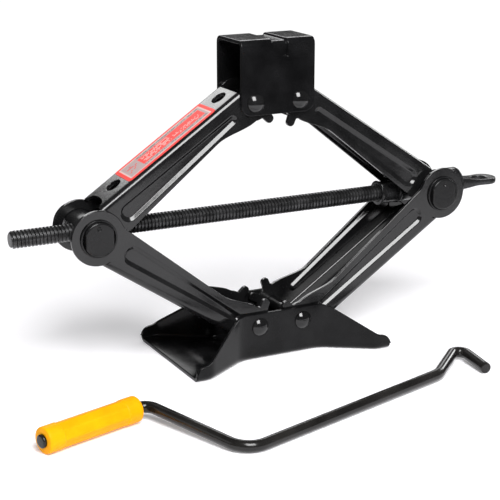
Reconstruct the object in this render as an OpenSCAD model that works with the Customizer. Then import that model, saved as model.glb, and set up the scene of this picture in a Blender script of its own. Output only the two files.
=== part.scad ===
// Scissor stabilizer jack: two pairs of geared channel arms, a lead screw across the
// two side trunnions, a folded base pan, a channel head and a loose hooked crank.
// Origin: centre of the base's underside. +X runs along the screw to its eye, +Z is up.

/* [Linkage] */
// Distance between the two pivots of one arm
arm_len = 166; // [160:1:172]
// Slope of the arms as drawn, in degrees above level
arm_angle = 33.8; // [30:0.1:38]
// Half the distance between the two pins of the base, and of the head
pivot_half = 20; // [20:1:20]
// Height of the base pins above the ground
base_pivot_z = 28; // [27:0.5:32]

/* [Sheet metal] */
// Thickness of the pressed steel
sheet = 3; // [2.5:0.1:3.2]
// Outer half width across the base's two walls
base_half = 30.6; // [30.6:0.1:32]
// Outer half width of the lower arms
lower_half = 27.3; // [27:0.1:27.3]
// Outer half width of the head
head_half = 22.5; // [22.5:0.1:23]
// Outer half width of the upper arms
upper_half = 19.2; // [19:0.1:19.2]
// Distance from an upper arm's pivot line to the outside of its web
upper_web = 14.8; // [14:0.1:16]
// Distance from a lower arm's pivot line to the outside of its web
lower_web = 17; // [16:0.1:18]

/* [Base] */
// Length of the base
base_len = 180; // [170:1:190]
// Half width of the base at its flared ends
base_end_half = 57; // [50:1:60]
// Height of the base's walls at the middle
base_wall_z = 39.5; // [38:0.5:42]

/* [Head] */
// Length of the head along X
head_len = 66; // [62:1:70]
// Height of the head's top above its pins
head_rise = 50; // [46:1:56]
// Width of the pressed locating groove in the head
groove_w = 14; // [10:1:18]

/* [Screw] */
// Outside diameter of the screw's thread
screw_d = 14; // [14:1:14]
// Length of the screw left of the nut's axis, as drawn
screw_tail = 62; // [55:1:70]
// Diameter of the hole in the screw's eye
eye_hole_d = 13.6; // [12:0.2:14]

/* [Pins and trunnions] */
// Diameter of the four pivot pins
pin_d = 10; // [9:0.5:11]
// Diameter of the pins' domed heads
pin_head_d = 15; // [14:0.5:16]
// Diameter of the trunnion bars
trunnion_d = 27; // [26:0.5:28]
// Width across the trunnion bars' flats
trunnion_flats = 23; // [22:0.5:24]
// Radius of the lower arms' front ears round the trunnions
ear_r = 22; // [21:0.5:23]

/* [Crank] */
// Diameter of the crank's rod
rod_d = 9; // [8:0.5:10]
// Diameter of the crank's grip
grip_d = 20; // [18:0.5:22]
// Length of the crank's grip
grip_len = 84; // [80:1:90]

/* [Hidden] */
$fn = 64;

// Clearance all round a pin that turns in its hole
running = 0.05;
// Clearance of the one pin that closes the linkage
loop_gap = 0.3;
// Gap between neighbouring sheets
side_gap = 0.3;
cut = 1;

trunnion_x = pivot_half + arm_len * cos(arm_angle);
screw_z = base_pivot_z + arm_len * sin(arm_angle);
head_pivot_z = base_pivot_z + 2 * arm_len * sin(arm_angle);
head_top_z = head_pivot_z + head_rise;
head_bottom_z = head_pivot_z - 10;

// The other ears: the upper arms' back ones, and the two that the front ears cover
upper_back_ear_r = 21;
small_ear_r = 17.8;
// How much narrower the lower arms' back flanges are than their front ones
back_trim = 3.4;

// Gear lobes on the arms, two or three on each flange, half a pitch apart
lobe_pitch = 50;
lobe_root_r = 15;
lobe_tip_r = 23.2;
lobe_nose_r = 3.5;
lobe_foot_half = 3.8;
// Directions of the lobes below the line to the facing arm's pin
front_lobes = [-5, 45];
back_lobes = [for (a = [-55, -5, 45]) a + lobe_pitch / 2];

// Bend radii of the channels
bend_out = 4.5;
bend_in = bend_out - sheet;

// Web of an arm
web_end = arm_len - 6;
web_hole_d = 12.5;
web_holes = [38.5, 149];
notch_len = 23.5;
notch_power = 3;

// Pressed panel in each flange of an arm
panel_depth = 2;
panel_near_u = 33;
panel_far_u = 143;

// Rating label
label_from = 47.5;
label_to = 137.5;
label_half = 16;
label_thick = 0.3;

// Trunnion stack, measured outwards from the middle
ring_from = lower_half + side_gap;
ring_thick = 1.3;
ring_r = 15;
bar_half = 31.4;
washer_from = upper_half + side_gap;
washer_to = lower_half - sheet - side_gap;
washer_r = 16.2;

// Thrust bearing between the bearing block and the screw's shoulder
race_r = 14;
race_thick = 2.5;
ball_r = 1.98;
ball_circle_r = 10.8;
ball_count = 12;
ball_gap = 0.02;
race_x = trunnion_x + trunnion_flats / 2 + 0.05;
ball_x = race_x + race_thick + ball_gap + ball_r;
turning_x = ball_x + ball_r + ball_gap;
shoulder_x = turning_x + race_thick + 0.05;

// Eye forged on the screw's end
shoulder_r = 14.2;
shoulder_len = 11.8;
eye_r = 11.5;
eye_thick = 5;
eye_x = 220;
eye_hole_x = 215.5;

// Sleeve on the screw
sleeve_x = 108.5;
sleeve_len = 35.5;
sleeve_r = 9.6;
sleeve_rim_r = 10.6;
roll_pin_d = 3;
roll_pin_x = 122;

// Crank: corners of the rod's centre line along its shaft and across it
crank_origin = [-117.2, -197.8];
crank_turn = 16.65;
crank_tilt = 3.33;
crank_pitch = -0.24;
crank_corners = [[-102.5, 102], [-6.5, 102], [0, 0], [210, 0], [267, 27], [249, -17.5]];
crank_bend_r = [0, 10, 18, 25, 7, 0];
grip_from = 1.8;
rod_end_r = 5.1;
// The rod is this much thicker in its bends, which its straight parts enter by bend_lap
bend_swell = 0.03;
bend_lap = 0.4;

// Unit vector from a to b, and the angle of that vector
function unit(a, b) = (b - a) / norm(b - a);
function heading(a, b) = atan2(b.y - a.y, b.x - a.x);
// Signed turn at the middle of three points
function turn_at(a, b, c) =
    let (t = heading(b, c) - heading(a, b)) t > 180 ? t - 360 : (t < -180 ? t + 360 : t);
// Distance from a corner to where an arc of radius r leaves its two sides
function tangent_len(a, b, c, r) = r * tan(abs(turn_at(a, b, c)) / 2);
// Points of the arc that rounds the corner b
function corner_arc(a, b, c, r, steps = 6) =
    let (
        t = turn_at(a, b, c),
        start = b - unit(a, b) * tangent_len(a, b, c, r),
        side = sign(t),
        h = heading(a, b),
        centre = start + r * side * [-sin(h), cos(h)]
    )
    [for (i = [0 : steps]) centre + r * side * [sin(h + t * i / steps), -cos(h + t * i / steps)]];
// An open line of points with its inner corners rounded
function rounded_line(p, r) = [
    p[0],
    for (i = [1 : len(p) - 2]) each corner_arc(p[i - 1], p[i], p[i + 1], r[i]),
    p[len(p) - 1]
];

// ---- Shapes that several pieces share ----

// A bar along Y, centred, of radius r
module cross_bar(r, half_len) {
    rotate([90, 0, 0]) cylinder(r = r, h = 2 * half_len, center = true);
}

// A ring along Y between the distances from and to, on both sides of the middle
module ring_pair(r_out, r_in, from, to) {
    for (side = [-1, 1])
        translate([0, side * (from + to) / 2, 0])
            difference() {
                cross_bar(r_out, (to - from) / 2);
                cross_bar(r_in, (to - from) / 2 + cut);
            }
}

// A disc with a hole along X, from x for a length
module x_ring(x, length, r_out, r_in) {
    translate([x, 0, 0]) rotate([0, 90, 0])
        difference() {
            cylinder(r = r_out, h = length);
            translate([0, 0, -cut]) cylinder(r = r_in, h = length + 2 * cut);
        }
}

// A pivot pin along Y with a domed head at each end
module domed_pin(half_len) {
    head_r = pin_head_d / 2;
    dome_h = 4;
    dome_r = (head_r * head_r + dome_h * dome_h) / (2 * dome_h);
    cross_bar(pin_d / 2, half_len);
    for (side = [0, 180])
        rotate([0, 0, side]) translate([0, half_len, 0]) rotate([-90, 0, 0])
            intersection() {
                translate([0, 0, dome_h - dome_r]) sphere(r = dome_r);
                cylinder(r = head_r, h = dome_h + cut);
            }
}

// Points of an arc of radius r round c
function arc(c, r, from, to, steps) =
    [for (i = [0 : steps]) let (a = from + (to - from) * i / steps) c + r * [cos(a), sin(a)]];

// Slot shape whose two round ends differ in radius
module tapered_slot(a, ra, b, rb) {
    along = heading(a, b);
    lean = acos((ra - rb) / norm(b - a));
    polygon(concat(
        arc(b, rb, along - lean, along + lean, 12),
        arc(a, ra, along + lean, along + 360 - lean, 16)
    ));
}

// ---- Arms, drawn with the trunnion at the origin, the geared pin along +X ----
// ---- and the web on the +Z side; the two flanges face -Y and +Y            ----

// One gear lobe pointing along +X
module lobe() {
    nose = [lobe_tip_r - lobe_nose_r, 0];
    polygon(concat(
        [[lobe_root_r - 3, lobe_foot_half], [lobe_root_r - 3, -lobe_foot_half]],
        arc(nose, lobe_nose_r, -85, 85, 12)
    ));
}

// Inner edge of a flange: a straight taper that eases into the gear's root
function inner_edge(u) =
    let (s = max(0, min(1, (u - 124) / 34))) -18 + 0.086 * u - 5.6 * s * s * (3 - 2 * s) - 3.6 * s;

// Side shape of one flange, up to where the bend to the web starts. Its ear has
// the radius ear, and its inner edge is trim closer to the web
module flange_shape(web, lobes, ear, trim) {
    top = web - bend_out;
    circle(r = ear);
    translate([arm_len, 0]) circle(r = lobe_root_r);
    for (a = lobes)
        translate([arm_len, 0]) rotate(-arm_angle - a) lobe();
    polygon(concat(
        [[0, top], [0, inner_edge(0) + trim]],
        [for (u = [10 : 8 : 122]) [u, inner_edge(u) + trim]],
        [for (u = [126 : 4 : 158]) [u, inner_edge(u) + trim * (158 - u) / 32]],
        [[arm_len, inner_edge(arm_len) + 2], [arm_len, top]]
    ));
}

// Cross-section of the web and its two bends, with a little of the flanges
module channel_section(half, web) {
    difference() {
        rounded_cap(half, web, bend_out, 2);
        rounded_cap(half - sheet, web - sheet, bend_in, 2 + cut);
    }
}

// A block with rounded upper corners that ends reach below the outer bends
module rounded_cap(half, top, r, reach) {
    for (side = [-1, 1])
        translate([side * (half - r), top - r]) circle(r = r, $fn = 32);
    low = top - bend_out - reach;
    translate([-half, low]) square([2 * half, top - r - low]);
    translate([-half + r, low]) square([2 * (half - r), top - low]);
}

// Opening that the web's end leaves for the trunnion, seen from above the web
module web_notch_shape(half) {
    steps = 24;
    polygon(concat(
        [for (i = [0 : steps])
            let (y = -half * cos(180 * i / steps))
            [notch_len * pow(1 - pow(abs(y / half), notch_power), 1 / notch_power), y]],
        [[-40, half], [-40, -half]]
    ));
}

// Pressed panel, as a slot in the side view
module panel_shape(web, grow) {
    drop = web - upper_web;
    tapered_slot([panel_near_u, -3.2 + drop], 7.6 + grow, [panel_far_u, 0.4 + drop], 3.8 + grow);
}

// An arm's ears and trims are given for its -Y flange, then its +Y flange
module arm(half, web, pin_gap, ears, trims) {
    difference() {
        union() {
            flange(-half, web, front_lobes, ears[0], trims[0]);
            flange(half - sheet, web, back_lobes, ears[1], trims[1]);
            rotate([90, 0, 90]) linear_extrude(height = web_end) channel_section(half, web);
            // the inside of the pressed panels
            for (side = [-1, 1])
                side_layer(side * (half - (sheet + panel_depth + 1) / 2), sheet + panel_depth - 1)
                    panel_shape(web, 0);
        }
        // the outside of the pressed panels
        for (side = [-1, 1])
            side_layer(side * half, 2 * panel_depth) panel_shape(web, -1.2);
        // the web's notch and holes
        translate([0, 0, web - bend_out - 3]) linear_extrude(height = 20)
            web_notch_shape(half - sheet + 0.6);
        for (u = web_holes)
            translate([u, 0, 0]) cylinder(d = web_hole_d, h = web + cut);
        // the holes for the trunnion and the geared pin
        cross_bar(trunnion_d / 2 + running, half + cut);
        translate([arm_len, 0, 0]) cross_bar(pin_d / 2 + pin_gap, half + cut);
    }
}

// A side-view shape, thick along Y and centred on y
module side_layer(y, thick) {
    translate([0, y, 0]) rotate([90, 0, 0]) linear_extrude(height = thick, center = true) children();
}

// One flange, from y to y + sheet
module flange(y, web, lobes, ear, trim) {
    side_layer(y + sheet / 2, sheet) flange_shape(web, lobes, ear, trim);
}

// Places an upper arm at the left trunnion
module at_upper_left() {
    translate([-trunnion_x, 0, screw_z]) rotate([0, -arm_angle, 0]) children();
}

// Places a lower arm at the left trunnion
module at_lower_left() {
    translate([-trunnion_x, 0, screw_z]) rotate([0, arm_angle, 0]) rotate([180, 0, 0]) children();
}

module upper_arm_left() {
    color("#1b1b1d") at_upper_left()
        arm(upper_half, upper_web, running, [small_ear_r, upper_back_ear_r], [0, 0]);
}

module upper_arm_right() {
    color("#1b1b1d") rotate([0, 0, 180]) at_upper_left()
        arm(upper_half, upper_web, loop_gap, [upper_back_ear_r, small_ear_r], [0, 0]);
}

module lower_arm_left() {
    color("#1b1b1d") at_lower_left()
        arm(lower_half, lower_web, running, [small_ear_r, ear_r], [back_trim, 0]);
}

module lower_arm_right() {
    color("#1b1b1d") rotate([0, 0, 180]) at_lower_left()
        arm(lower_half, lower_web, running, [ear_r, small_ear_r], [0, back_trim]);
}

// Sticker on the upper left arm's web
module rating_label() {
    corner = 3;
    color("#d8342c") at_upper_left() translate([0, 0, upper_web]) linear_extrude(height = label_thick) {
        translate([label_from, -label_half + corner])
            square([label_to - label_from, 2 * (label_half - corner)]);
        translate([label_from + corner, -label_half])
            square([label_to - label_from - 2 * corner, 2 * label_half]);
        for (u = [label_from + corner, label_to - corner], side = [-1, 1])
            translate([u, side * (label_half - corner)]) circle(r = corner, $fn = 32);
    }
}

// ---- Base ----

// Plan of the base, shrunk inwards by inset and run past the ends by extra
module base_plan(inset, extra) {
    end_x = base_len / 2 + extra;
    corners = [[-end_x, base_end_half], [-77, base_end_half], [-36, base_half],
               [36, base_half], [77, base_end_half], [end_x, base_end_half]];
    edge = [for (p = rounded_line(corners, [0, 14, 22, 22, 14, 0])) p - [0, inset]];
    polygon(concat(edge, [for (i = [len(edge) - 1 : -1 : 0]) [edge[i].x, -edge[i].y]]));
}

// Side view of the base
module base_side() {
    end_x = base_len / 2;
    half_top = rounded_line(
        [[0, base_wall_z], [41, base_wall_z], [80, 12.5], [end_x, 12.5], [end_x, 0]],
        [0, 22, 12, 6, 0]);
    polygon(concat(half_top, [for (i = [len(half_top) - 1 : -1 : 0]) [-half_top[i].x, half_top[i].y]]));
}

module base_plate() {
    wall = sheet * 1.12;
    rise = 2;
    color("#1b1b1d") difference() {
        union() {
            intersection() {
                linear_extrude(height = base_wall_z) base_plan(0, 0);
                rotate([90, 0, 0])
                    linear_extrude(height = 2 * base_end_half + 2, center = true) base_side();
                // everything but the hollow above the floor
                difference() {
                    translate([-base_len, -base_len, -cut]) cube([2 * base_len, 2 * base_len, 80]);
                    translate([0, 0, sheet]) linear_extrude(height = 80) base_plan(wall, 10);
                    translate([0, 0, sheet + 40]) cube([72, 2 * (base_half - sheet), 80], center = true);
                }
            }
            // stiffening plateau pressed up in the floor
            translate([-62, -(base_half - wall - 1), sheet])
                cube([124, 2 * (base_half - wall - 1), rise]);
        }
        for (side = [-1, 1])
            translate([side * pivot_half, 0, base_pivot_z]) cross_bar(pin_d / 2 + 0.02, base_half + 20);
    }
}

module base_pivot_pin(side) {
    color("#141416") translate([side * pivot_half, 0, base_pivot_z]) domed_pin(base_half);
}

// ---- Head ----

module head_bracket() {
    corner = 9;
    groove_x = 1.5;
    groove_depth = 2;
    groove_drop = 14.5;
    wall_h = head_top_z - head_bottom_z;
    color("#1b1b1d") difference() {
        union() {
            intersection() {
                translate([-head_len / 2, 0, head_top_z])
                    rotate([90, 0, 90]) linear_extrude(height = head_len) head_section();
                // rounded lower corners of the walls
                rotate([90, 0, 0]) linear_extrude(height = 2 * head_half + 2, center = true) {
                    translate([-head_len / 2, head_bottom_z + corner])
                        square([head_len, wall_h - corner + cut]);
                    for (side = [-1, 1])
                        translate([side * (head_len / 2 - corner), head_bottom_z + corner])
                            circle(r = corner);
                    translate([-head_len / 2 + corner, head_bottom_z])
                        square([head_len - 2 * corner, corner + cut]);
                }
            }
            // the groove's raised inside
            translate([groove_x - groove_w / 2 - 2, 0, head_top_z - groove_drop - 2])
                groove_inside(groove_w + 4, groove_drop + 2, sheet + groove_depth, sheet - 0.5);
        }
        translate([groove_x - groove_w / 2, 0, head_top_z - groove_drop])
            groove_inside(groove_w, groove_drop + cut, groove_depth, -cut);
        for (side = [-1, 1])
            translate([side * pivot_half, 0, head_pivot_z]) cross_bar(pin_d / 2 + 0.02, head_half + cut);
    }
}

// Cross-section of the head, its top at zero
module head_section() {
    r = 5.5;
    drop = head_top_z - head_bottom_z;
    difference() {
        head_block(head_half, 0, r, drop);
        head_block(head_half - sheet, -sheet, r - sheet, drop + cut);
    }
}

module head_block(half, top, r, drop) {
    for (side = [-1, 1])
        translate([side * (half - r), top - r]) circle(r = r, $fn = 32);
    translate([-half, -drop]) square([2 * half, drop + top - r]);
    translate([-half + r, -drop]) square([2 * (half - r), drop + top]);
}

// Saddle-shaped layer that follows the head's top and walls, between the depths outer and inner
module groove_inside(width, drop, inner, outer) {
    top = min(drop, drop - max(outer, 0));
    difference() {
        translate([0, -(head_half - outer), 0])
            cube([width, 2 * (head_half - outer), outer < 0 ? drop : top]);
        translate([-cut, -(head_half - inner), -cut])
            cube([width + 2 * cut, 2 * (head_half - inner), drop + cut - inner - (outer < 0 ? cut : 0)]);
    }
}

module head_pivot_pin(side) {
    color("#141416") translate([side * pivot_half, 0, head_pivot_z]) domed_pin(head_half);
}

// ---- Trunnions ----

// Round cross bar with two flats and a hole for the screw
module trunnion(side, bore_r) {
    chamfer = 1;
    color("#161618") translate([side * trunnion_x, 0, screw_z]) difference() {
        intersection() {
            rotate([90, 0, 0]) rotate_extrude() polygon([
                [0, -bar_half], [trunnion_d / 2 - chamfer, -bar_half],
                [trunnion_d / 2, -bar_half + chamfer], [trunnion_d / 2, bar_half - chamfer],
                [trunnion_d / 2 - chamfer, bar_half], [0, bar_half]
            ]);
            cube([trunnion_flats, 2 * bar_half + 2, 2 * trunnion_d], center = true);
        }
        rotate([0, 90, 0]) cylinder(r = bore_r, h = 2 * trunnion_d, center = true);
    }
}

module trunnion_nut() {
    trunnion(-1, screw_d / 2 + running);
}

module trunnion_bearing_block() {
    trunnion(1, screw_d / 2 + 0.08);
}

module side_washers(side) {
    color("#2a2a2c") translate([side * trunnion_x, 0, screw_z])
        ring_pair(washer_r, trunnion_d / 2 + running, washer_from, washer_to);
}

module retaining_rings(side) {
    color("#1d1d1f") translate([side * trunnion_x, 0, screw_z])
        ring_pair(ring_r, trunnion_d / 2 + running, ring_from, ring_from + ring_thick);
}

// ---- Screw and what it carries ----

module lead_screw() {
    r = screw_d / 2;
    tail_x = -trunnion_x - screw_tail;
    neck_x = shoulder_x + shoulder_len;
    color("#232325") translate([0, 0, screw_z]) difference() {
        union() {
            rotate([0, 90, 0]) rotate_extrude() polygon([
                [0, tail_x], [r - 1.5, tail_x], [r, tail_x + 1.5], [r, shoulder_x],
                [shoulder_r, shoulder_x], [shoulder_r, neck_x - 1], [shoulder_r - 1, neck_x],
                [0, neck_x]
            ]);
            // the flattened eye
            intersection() {
                linear_extrude(height = 30, center = true) eye_plan(neck_x);
                rotate([90, 0, 0]) linear_extrude(height = 40, center = true) eye_side(neck_x);
            }
        }
        translate([eye_hole_x, 0, 0]) cylinder(d = eye_hole_d, h = 30, center = true);
        translate([roll_pin_x, 0, 0]) cylinder(d = roll_pin_d + 0.04, h = 30, center = true);
    }
}

module eye_plan(neck_x) {
    neck_half = 7.5;
    translate([eye_x, 0]) circle(r = eye_r);
    polygon([
        [neck_x - cut, -neck_half], [eye_x - 9, -10.6], [eye_x, -eye_r],
        [eye_x, eye_r], [eye_x - 9, 10.6], [neck_x - cut, neck_half]
    ]);
}

module eye_side(neck_x) {
    end_x = eye_x + eye_r + cut;
    polygon([
        [neck_x - cut, 5], [eye_x - eye_r, eye_thick / 2], [end_x, eye_thick / 2],
        [end_x, -eye_thick / 2], [eye_x - eye_r, -eye_thick / 2], [neck_x - cut, -5]
    ]);
}

module screw_sleeve() {
    rim = 1.2;
    step_x = 18.5;
    bore = screw_d / 2 + running;
    color("#2b2b2e") translate([0, 0, screw_z]) difference() {
        translate([sleeve_x, 0, 0]) rotate([0, 90, 0]) rotate_extrude() polygon([
            [bore, 0], [sleeve_rim_r - 0.4, 0], [sleeve_rim_r, rim / 2], [sleeve_rim_r - 0.4, rim],
            [sleeve_r, rim + 0.6], [sleeve_r, step_x], [sleeve_rim_r - 0.3, step_x + 0.4],
            [sleeve_rim_r - 0.3, step_x + 1.6], [sleeve_r - 0.3, step_x + 2.2],
            [sleeve_r - 0.3, sleeve_len], [bore, sleeve_len]
        ]);
        translate([roll_pin_x, 0, 0]) cylinder(d = roll_pin_d + 0.04, h = 30, center = true);
    }
}

module sleeve_roll_pin() {
    color("#3a3a3d") translate([roll_pin_x, 0, screw_z])
        cylinder(d = roll_pin_d, h = 2 * sleeve_r - 1, center = true);
}

module sleeve_washer() {
    from = sleeve_x + sleeve_len + 0.1;
    to = trunnion_x - trunnion_flats / 2 - 0.1;
    color("#2f2f31") translate([0, 0, screw_z])
        x_ring(from, to - from, 11, screw_d / 2 + running);
}

module thrust_race_fixed() {
    color("#55555a") translate([0, 0, screw_z])
        x_ring(race_x, race_thick, race_r, screw_d / 2 + 0.08);
}

module thrust_race_turning() {
    color("#55555a") translate([0, 0, screw_z])
        x_ring(turning_x, race_thick, race_r, screw_d / 2 + 0.02);
}

module thrust_balls() {
    color("#8a8a90") translate([ball_x, 0, screw_z])
        for (i = [0 : ball_count - 1])
            rotate([i * 360 / ball_count, 0, 0]) translate([0, 0, ball_circle_r]) sphere(r = ball_r);
}

module thrust_ball_cage() {
    thick = 1.4;
    color("#77777c") translate([ball_x, 0, screw_z]) difference() {
        x_ring(-thick / 2, thick, race_r - 0.3, screw_d / 2 + 0.25);
        for (i = [0 : ball_count - 1])
            rotate([i * 360 / ball_count, 0, 0]) translate([0, 0, ball_circle_r])
                rotate([0, 90, 0]) cylinder(r = ball_r + 0.06, h = 4, center = true);
    }
}

// ---- Crank, drawn with its shaft along +X and its grip at +Y, then laid on the ground ----

module on_ground() {
    translate([crank_origin.x, crank_origin.y, rod_d / 2 + 0.05])
        rotate([0, 0, crank_turn]) rotate([0, crank_pitch, 0]) rotate([crank_tilt, 0, 0]) children();
}

// Straight round rod between two points of the crank's plane, run on a little into its bends
module straight_rod(a, b, before, after) {
    translate([a.x, a.y, 0]) rotate([0, 0, heading(a, b)]) rotate([0, 90, 0])
        translate([0, 0, -before]) cylinder(d = rod_d, h = norm(b - a) + before + after);
}

// Round bend at the corner b
module rod_bend(a, b, c, r) {
    t = turn_at(a, b, c);
    start = b - unit(a, b) * tangent_len(a, b, c, r);
    h = heading(a, b);
    side = sign(t);
    translate([start.x - r * side * sin(h), start.y + r * side * cos(h), 0])
        rotate([0, 0, h - 90 * side + (t < 0 ? t : 0)])
            rotate_extrude(angle = abs(t)) translate([r, 0]) circle(d = rod_d + 2 * bend_swell);
}

module crank_rod() {
    p = crank_corners;
    r = crank_bend_r;
    last = len(p) - 1;
    // how far each corner's arc takes from its two sides
    trim = [for (i = [0 : last])
        (i == 0 || i == last) ? 0 : tangent_len(p[i - 1], p[i], p[i + 1], r[i])];
    color("#1a1a1c") on_ground() {
        for (i = [0 : last - 1])
            straight_rod(p[i] + unit(p[i], p[i + 1]) * trim[i],
                         p[i + 1] - unit(p[i], p[i + 1]) * trim[i + 1],
                         i == 0 ? 0 : bend_lap, i == last - 1 ? 0 : bend_lap);
        for (i = [1 : last - 1])
            rod_bend(p[i - 1], p[i], p[i + 1], r[i]);
        // upset end that keeps the grip on
        translate([p[0].x, p[0].y, 0]) rotate([0, 90, 0]) rotate_extrude()
            polygon([[0, -0.6], [rod_end_r - 1, -0.6], [rod_end_r, 0.2], [rod_end_r, 1.4], [0, 1.4]]);
    }
}

module crank_grip() {
    r = grip_d / 2;
    chamfer = 1.6;
    collar = 13;
    flutes = 8;
    flute_r = 3;
    flute_depth = 0.7;
    start = crank_corners[0];
    color("#f2b90c") on_ground() translate([start.x + grip_from, start.y, 0]) rotate([0, 90, 0])
        difference() {
            rotate_extrude() polygon([
                [rod_d / 2 + running, 0], [r - chamfer, 0], [r, chamfer],
                [r, grip_len - chamfer], [r - chamfer, grip_len], [rod_d / 2 + running, grip_len]
            ]);
            for (i = [0 : flutes - 1])
                rotate([0, 0, (i + 0.5) * 360 / flutes])
                    translate([r + flute_r - flute_depth, 0, collar])
                        cylinder(r = flute_r, h = grip_len - 2 * collar);
        }
}

base_plate();
base_pivot_pin(-1);  // base_pivot_pin_left
base_pivot_pin(1);  // base_pivot_pin_right
lower_arm_left();
lower_arm_right();
upper_arm_left();
upper_arm_right();
rating_label();
head_bracket();
head_pivot_pin(-1);  // head_pivot_pin_left
head_pivot_pin(1);  // head_pivot_pin_right
trunnion_nut();
trunnion_bearing_block();
side_washers(-1);  // nut_side_washers
side_washers(1);  // bearing_side_washers
retaining_rings(-1);  // nut_retaining_rings
retaining_rings(1);  // bearing_retaining_rings
lead_screw();
screw_sleeve();
sleeve_roll_pin();
sleeve_washer();
thrust_race_fixed();
thrust_race_turning();
thrust_balls();
thrust_ball_cage();
crank_rod();
crank_grip();
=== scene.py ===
import math

import bmesh
import bpy
import numpy as np
from mathutils import Matrix, Vector
from mathutils.geometry import delaunay_2d_cdt


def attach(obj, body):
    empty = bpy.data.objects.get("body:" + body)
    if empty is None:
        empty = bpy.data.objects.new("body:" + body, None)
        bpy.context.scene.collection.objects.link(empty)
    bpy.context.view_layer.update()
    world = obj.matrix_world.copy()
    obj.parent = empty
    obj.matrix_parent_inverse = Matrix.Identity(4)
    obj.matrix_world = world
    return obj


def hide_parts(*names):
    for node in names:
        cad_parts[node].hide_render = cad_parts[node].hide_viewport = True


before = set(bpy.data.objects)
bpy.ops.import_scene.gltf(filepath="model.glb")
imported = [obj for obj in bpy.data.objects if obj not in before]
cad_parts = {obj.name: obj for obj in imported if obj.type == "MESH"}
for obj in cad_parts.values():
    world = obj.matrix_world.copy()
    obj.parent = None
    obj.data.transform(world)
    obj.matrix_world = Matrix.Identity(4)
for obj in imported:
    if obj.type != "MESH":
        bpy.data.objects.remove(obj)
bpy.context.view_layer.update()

MM = 0.001

# ---------------------------------------------------------------- dimensions
# Everything is in millimetres until a mesh is made.

ARM_LEN = 166.0
ARM_ANGLE = math.radians(33.8)
PIVOT_HALF = 20.0
BASE_PIVOT_Z = 28.0
TRUNNION_X = PIVOT_HALF + ARM_LEN * math.cos(ARM_ANGLE)
SCREW_Z = BASE_PIVOT_Z + ARM_LEN * math.sin(ARM_ANGLE)
HEAD_PIVOT_Z = BASE_PIVOT_Z + 2 * ARM_LEN * math.sin(ARM_ANGLE)
HEAD_TOP_Z = HEAD_PIVOT_Z + 50.0

SHEET = 3.0
EDGE_R = 0.55
BASE_HALF, LOWER_HALF, HEAD_HALF, UPPER_HALF = 30.6, 27.3, 22.5, 19.2
UPPER_WEB, LOWER_WEB = 14.8, 17.0
BEND_R = 4.5

FRONT_EAR_R, BACK_EAR_R, SMALL_EAR_R = 22.0, 21.0, 17.8
BACK_TRIM = 3.4
TRUNNION_D = 27.0
TRUNNION_FLATS = 23.0
BAR_HALF = 31.4
WEB_END = 160.0
WEB_HOLES = (38.5, 149.0)
WEB_HOLE_R = 6.25
PIN_R = 5.0
NOTCH_LEN = 23.5
# Height of an arm's inner edge at the trunnion, and its slope
EDGE_LOW, EDGE_SLOPE = -18.0, 0.086

LOBE_ROOT_R, LOBE_TIP_R, LOBE_HALF = 15.0, 23.2, 3.5
FRONT_LOBES = (-5, 45)
BACK_LOBES = (-30, 20, 70)

PANEL_DEPTH = 2.0
PANEL_SLOPE = 2.7
PANEL_SOFT = 0.5
PANEL_NEAR = (33.0, -3.2, 7.6)
PANEL_FAR = (143.0, 0.4, 3.8)

# Clearance round a part that turns in a hole
RUNNING = 0.05
SCREW_R = 7.0


# ------------------------------------------------------------- mesh building

def unit(v):
    """Rows of v at length one."""
    length = np.linalg.norm(v, axis=-1, keepdims=True)
    return v / np.maximum(length, 1e-12)


def make_object(name, verts, faces, normals=None, sharp_deg=None):
    """An object from points in millimetres."""
    mesh = bpy.data.meshes.new(name)
    mesh.from_pydata((np.asarray(verts, float) * MM).tolist(), [], [list(map(int, f)) for f in faces])
    mesh.update()
    mesh.shade_smooth()
    if normals is not None:
        mesh.normals_split_custom_set_from_vertices(np.asarray(normals, float).tolist())
    elif sharp_deg is not None:
        mesh.set_sharp_from_angle(angle=math.radians(sharp_deg))
    obj = bpy.data.objects.new(name, mesh)
    bpy.context.scene.collection.objects.link(obj)
    return obj


def place(obj, body, material, slot, *nodes):
    """Puts a new piece on its body, in place of the CAD nodes."""
    obj.data.materials.clear()
    obj.data.materials.append(material)
    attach(obj, body)
    if nodes:
        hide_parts(*nodes)


def layer_normals(points, faces):
    """Smooth normals of a layer of faces."""
    total = np.zeros_like(points)
    for size in {len(f) for f in faces}:
        group = np.array([f for f in faces if len(f) == size])
        a, b, c = points[group[:, 0]], points[group[:, 1]], points[group[:, 2]]
        n = np.cross(b - a, c - a)
        if size == 4:
            d = points[group[:, 3]]
            n = n + np.cross(c - a, d - a)
        for k in range(size):
            np.add.at(total, group[:, k], n)
    return unit(total)


def boundary_loops(faces):
    """Closed loops of the edges that have one face, with the faces on their left."""
    directed = set()
    for f in faces:
        for i in range(len(f)):
            directed.add((f[i], f[(i + 1) % len(f)]))
    following = {a: b for a, b in directed if (b, a) not in directed}
    loops = []
    while following:
        start = next(iter(following))
        loop, at = [], start
        while at in following:
            loop.append(at)
            at = following.pop(at)
        loops.append(loop)
    return loops


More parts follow.
